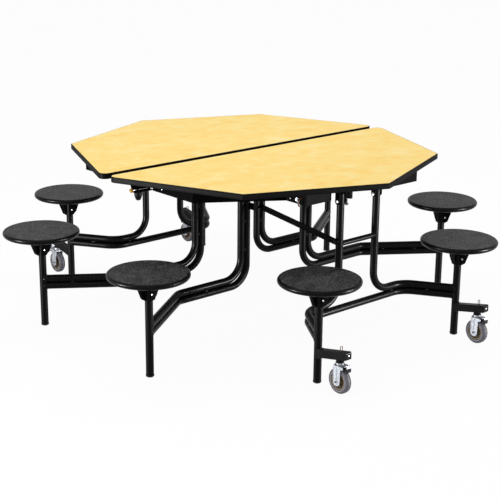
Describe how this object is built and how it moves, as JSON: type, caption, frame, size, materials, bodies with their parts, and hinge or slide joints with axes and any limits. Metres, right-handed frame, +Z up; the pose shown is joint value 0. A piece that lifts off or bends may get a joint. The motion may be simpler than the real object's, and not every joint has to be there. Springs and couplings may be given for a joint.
{
  "type": "folding table with attached swivel stools",
  "caption": "Octagonal mobile folding cafeteria table with attached round swivel stools on bent steel legs and braked casters.",
  "frame": {"origin": "on the floor under the middle of the seam between the two table halves", "axes": "+Z up, X along the seam, the front half at -Y"},
  "size_m": [2.075, 2.076, 0.737],
  "materials": {
    "laminate": "satin",
    "band": "satin",
    "seat": "matte",
    "frame_paint": "gloss",
    "tyre": "matte",
    "wheel_core": "satin",
    "zinc": "satin",
    "pedal": "matte",
    "foot_cap": "matte",
    "latch_rod": "satin",
    "bumper": "matte",
    "ring_wire": "satin"
  },
  "bodies": {
    "centre_frame": {"centre_yoke": "frame_paint", "centre_hinge_pins": "zinc", "inner_leg_front_left": "frame_paint", "inner_leg_front_right": "frame_paint", "inner_leg_back_right": "frame_paint", "inner_leg_back_left": "frame_paint", "inner_foot_caps": "foot_cap", "inner_seat_brackets": "frame_paint"},
    "front_half": {"table_top_front": "laminate", "edge_band_front": "band", "apron_front": "frame_paint", "top_frame_front": "frame_paint", "hanger_pins_front": "zinc", "stop_screw_front": "zinc", "latch_bracket_front": "frame_paint", "latch_cup_front": "bumper"},
    "front_latch": {"latch_rod_front": "latch_rod"},
    "front_outer_frame": {"outer_frame_front": "frame_paint", "tie_rings_front": "ring_wire", "outer_foot_caps_front": "foot_cap", "outer_seat_brackets_front": "frame_paint"},
    "front_link": {"link_bar_front": "frame_paint"},
    "back_half": {"table_top_back": "laminate", "edge_band_back": "band", "apron_back": "frame_paint", "top_frame_back": "frame_paint", "hanger_pins_back": "zinc", "stop_screw_back": "zinc", "latch_bracket_back": "frame_paint", "latch_cup_back": "bumper"},
    "back_latch": {"latch_rod_back": "latch_rod"},
    "back_outer_frame": {"outer_frame_back": "frame_paint", "tie_rings_back": "ring_wire", "outer_foot_caps_back": "foot_cap", "outer_seat_brackets_back": "frame_paint"},
    "back_link": {"link_bar_back": "frame_paint"},
    "seat_inner_front_left": {"seat_inner_front_left": "seat"},
    "seat_outer_front_left": {"seat_outer_front_left": "seat"},
    "fork_front_left": {"caster_fork_front_left": "zinc"},
    "wheel_front_left": {"wheel_core_front_left": "wheel_core", "tyre_front_left": "tyre"},
    "pedal_front_left": {"brake_pedal_front_left": "pedal"},
    "seat_inner_front_right": {"seat_inner_front_right": "seat"},
    "seat_outer_front_right": {"seat_outer_front_right": "seat"},
    "fork_front_right": {"caster_fork_front_right": "zinc"},
    "wheel_front_right": {"wheel_core_front_right": "wheel_core", "tyre_front_right": "tyre"},
    "pedal_front_right": {"brake_pedal_front_right": "pedal"},
    "seat_inner_back_left": {"seat_inner_back_left": "seat"},
    "seat_outer_back_left": {"seat_outer_back_left": "seat"},
    "fork_back_left": {"caster_fork_back_left": "zinc"},
    "wheel_back_left": {"wheel_core_back_left": "wheel_core", "tyre_back_left": "tyre"},
    "pedal_back_left": {"brake_pedal_back_left": "pedal"},
    "seat_inner_back_right": {"seat_inner_back_right": "seat"},
    "seat_outer_back_right": {"seat_outer_back_right": "seat"},
    "fork_back_right": {"caster_fork_back_right": "zinc"},
    "wheel_back_right": {"wheel_core_back_right": "wheel_core", "tyre_back_right": "tyre"},
    "pedal_back_right": {"brake_pedal_back_right": "pedal"}
  },
  "joints": [
    {"name": "front_fold", "type": "hinge", "parent": "centre_frame", "child": "front_half", "pos_m": [0, -0.205, 0.699], "axis": [1, 0, 0], "range_deg": [0, 84]},
    {"name": "front_frame_level", "type": "hinge", "parent": "front_half", "child": "front_outer_frame", "pos_m": [0, -0.66, 0.646], "axis": [-1, 0, 0], "range_deg": [0, 84]},
    {"name": "front_link_swing", "type": "hinge", "parent": "centre_frame", "child": "front_link", "pos_m": [-0.129, -0.205, 0.532], "axis": [1, 0, 0], "range_deg": [0, 84]},
    {"name": "front_latch_slide", "type": "slide", "parent": "front_half", "child": "front_latch", "axis": [-1, 0, 0], "range_m": [0, 0.02]},
    {"name": "back_fold", "type": "hinge", "parent": "centre_frame", "child": "back_half", "pos_m": [0, 0.205, 0.699], "axis": [-1, 0, 0], "range_deg": [0, 84]},
    {"name": "back_frame_level", "type": "hinge", "parent": "back_half", "child": "back_outer_frame", "pos_m": [0, 0.66, 0.646], "axis": [1, 0, 0], "range_deg": [0, 84]},
    {"name": "back_link_swing", "type": "hinge", "parent": "centre_frame", "child": "back_link", "pos_m": [0.129, 0.205, 0.532], "axis": [-1, 0, 0], "range_deg": [0, 84]},
    {"name": "back_latch_slide", "type": "slide", "parent": "back_half", "child": "back_latch", "axis": [1, 0, 0], "range_m": [0, 0.02]},
    {"name": "seat_inner_front_left_swivel", "type": "hinge", "parent": "centre_frame", "child": "seat_inner_front_left", "pos_m": [-0.873, -0.383, 0.4057], "axis": [0, 0, 1], "continuous": true},
    {"name": "seat_outer_front_left_swivel", "type": "hinge", "parent": "front_outer_frame", "child": "seat_outer_front_left", "pos_m": [-0.415, -0.862, 0.4057], "axis": [0, 0, 1], "continuous": true},
    {"name": "caster_swivel_front_left", "type": "hinge", "parent": "front_outer_frame", "child": "fork_front_left", "pos_m": [-0.415, -0.983, 0.1266], "axis": [0, 0, 1], "continuous": true},
    {"name": "wheel_spin_front_left", "type": "hinge", "parent": "fork_front_left", "child": "wheel_front_left", "pos_m": [-0.415, -0.986, 0.052], "axis": [1, 0, 0], "continuous": true},
    {"name": "brake_pedal_front_left_press", "type": "hinge", "parent": "fork_front_left", "child": "pedal_front_left", "pos_m": [-0.415, -1.013, 0.112], "axis": [1, 0, 0], "range_deg": [0, 22]},
    {"name": "seat_inner_front_right_swivel", "type": "hinge", "parent": "centre_frame", "child": "seat_inner_front_right", "pos_m": [0.873, -0.383, 0.4057], "axis": [0, 0, 1], "continuous": true},
    {"name": "seat_outer_front_right_swivel", "type": "hinge", "parent": "front_outer_frame", "child": "seat_outer_front_right", "pos_m": [0.415, -0.862, 0.4057], "axis": [0, 0, 1], "continuous": true},
    {"name": "caster_swivel_front_right", "type": "hinge", "parent": "front_outer_frame", "child": "fork_front_right", "pos_m": [0.415, -0.983, 0.1266], "axis": [0, 0, 1], "continuous": true},
    {"name": "wheel_spin_front_right", "type": "hinge", "parent": "fork_front_right", "child": "wheel_front_right", "pos_m": [0.415, -0.986, 0.052], "axis": [1, 0, 0], "continuous": true},
    {"name": "brake_pedal_front_right_press", "type": "hinge", "parent": "fork_front_right", "child": "pedal_front_right", "pos_m": [0.415, -1.013, 0.112], "axis": [1, 0, 0], "range_deg": [0, 22]},
    {"name": "seat_inner_back_left_swivel", "type": "hinge", "parent": "centre_frame", "child": "seat_inner_back_left", "pos_m": [-0.873, 0.383, 0.4057], "axis": [0, 0, 1], "continuous": true},
    {"name": "seat_outer_back_left_swivel", "type": "hinge", "parent": "back_outer_frame", "child": "seat_outer_back_left", "pos_m": [-0.415, 0.862, 0.4057], "axis": [0, 0, 1], "continuous": true},
    {"name": "caster_swivel_back_left", "type": "hinge", "parent": "back_outer_frame", "child": "fork_back_left", "pos_m": [-0.415, 0.983, 0.1266], "axis": [0, 0, 1], "continuous": true},
    {"name": "wheel_spin_back_left", "type": "hinge", "parent": "fork_back_left", "child": "wheel_back_left", "pos_m": [-0.415, 0.986, 0.052], "axis": [1, 0, 0], "continuous": true},
    {"name": "brake_pedal_back_left_press", "type": "hinge", "parent": "fork_back_left", "child": "pedal_back_left", "pos_m": [-0.415, 1.013, 0.112], "axis": [-1, 0, 0], "range_deg": [0, 22]},
    {"name": "seat_inner_back_right_swivel", "type": "hinge", "parent": "centre_frame", "child": "seat_inner_back_right", "pos_m": [0.873, 0.383, 0.4057], "axis": [0, 0, 1], "continuous": true},
    {"name": "seat_outer_back_right_swivel", "type": "hinge", "parent": "back_outer_frame", "child": "seat_outer_back_right", "pos_m": [0.415, 0.862, 0.4057], "axis": [0, 0, 1], "continuous": true},
    {"name": "caster_swivel_back_right", "type": "hinge", "parent": "back_outer_frame", "child": "fork_back_right", "pos_m": [0.415, 0.983, 0.1266], "axis": [0, 0, 1], "continuous": true},
    {"name": "wheel_spin_back_right", "type": "hinge", "parent": "fork_back_right", "child": "wheel_back_right", "pos_m": [0.415, 0.986, 0.052], "axis": [1, 0, 0], "continuous": true},
    {"name": "brake_pedal_back_right_press", "type": "hinge", "parent": "fork_back_right", "child": "pedal_back_right", "pos_m": [0.415, 1.013, 0.112], "axis": [-1, 0, 0], "range_deg": [0, 22]}
  ],
  "couplings": [
    {"joint": "back_fold", "follows": "front_fold", "ratio": 1},
    {"joint": "front_frame_level", "follows": "front_fold", "ratio": 1},
    {"joint": "back_frame_level", "follows": "front_fold", "ratio": 1},
    {"joint": "front_link_swing", "follows": "front_fold", "ratio": 1},
    {"joint": "back_link_swing", "follows": "front_fold", "ratio": 1}
  ]
}
